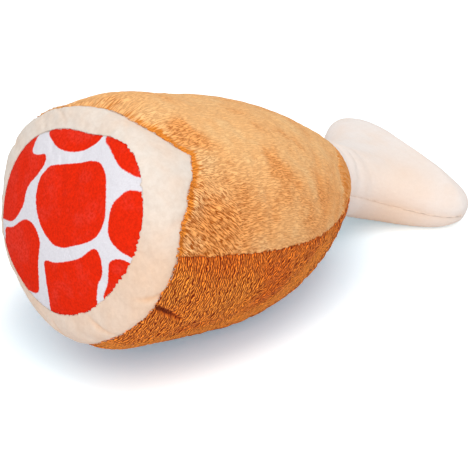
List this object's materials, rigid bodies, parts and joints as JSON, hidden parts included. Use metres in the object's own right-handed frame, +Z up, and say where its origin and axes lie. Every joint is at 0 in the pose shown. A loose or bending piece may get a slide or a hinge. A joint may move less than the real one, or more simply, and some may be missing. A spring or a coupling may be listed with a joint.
{
  "type": "plush dog toy",
  "caption": "Stuffed ham leg dog toy with a printed cut face in a cream ring, two-tone plush body, a bending plush bone at the narrow end and a squeaker inside.",
  "frame": {"origin": "On the floor that the toy lies on, under the middle of its bounding box", "axes": "+Z up, +X along the ham from the cut face towards the bone, +Y to the toy's left as seen from the cut face's end looking along +X"},
  "size_m": [0.2862, 0.1352, 0.135],
  "materials": {
    "printed_plush": "matte",
    "cream_plush": "matte",
    "light_tan_plush": "matte",
    "dark_tan_plush": "matte",
    "bone_plush": "matte",
    "polyester_fibre": "matte",
    "blown_plastic": "satin",
    "plug_plastic": "satin",
    "reed_plastic": "satin"
  },
  "bodies": {
    "ham": {"meat_disc": "printed_plush", "face_ring": "cream_plush", "body_top_panel": "light_tan_plush", "body_under_panel": "dark_tan_plush", "fill_lower_wad": "polyester_fibre", "fill_upper_wad": "polyester_fibre", "squeaker_bladder": "blown_plastic"},
    "bone": {"bone_upper_cover": "bone_plush", "bone_lower_cover": "bone_plush", "bone_fill": "polyester_fibre"},
    "plug": {"squeaker_plug": "plug_plastic"},
    "reed": {"squeaker_reed": "reed_plastic"}
  },
  "joints": [
    {"name": "neck_flex", "type": "hinge", "parent": "ham", "child": "bone", "pos_m": [0.05032, 0.01041, 0.04156], "axis": [-0.0038, -0.9799, -0.1995], "range_deg": [-15, 15], "stiffness_Nm_per_rad": 0.4},
    {"name": "squeaker_press", "type": "slide", "parent": "ham", "child": "plug", "axis": [0, 0, -1], "range_m": [0, 0.008], "stiffness_N_per_m": 400, "deforming": ["squeaker_bladder"]},
    {"name": "reed_flex", "type": "hinge", "parent": "plug", "child": "reed", "pos_m": [-0.05422, -0.00112, 0.07542], "axis": [0, 1, 0], "range_deg": [-4, 4], "stiffness_Nm_per_rad": 0.0005}
  ]
}
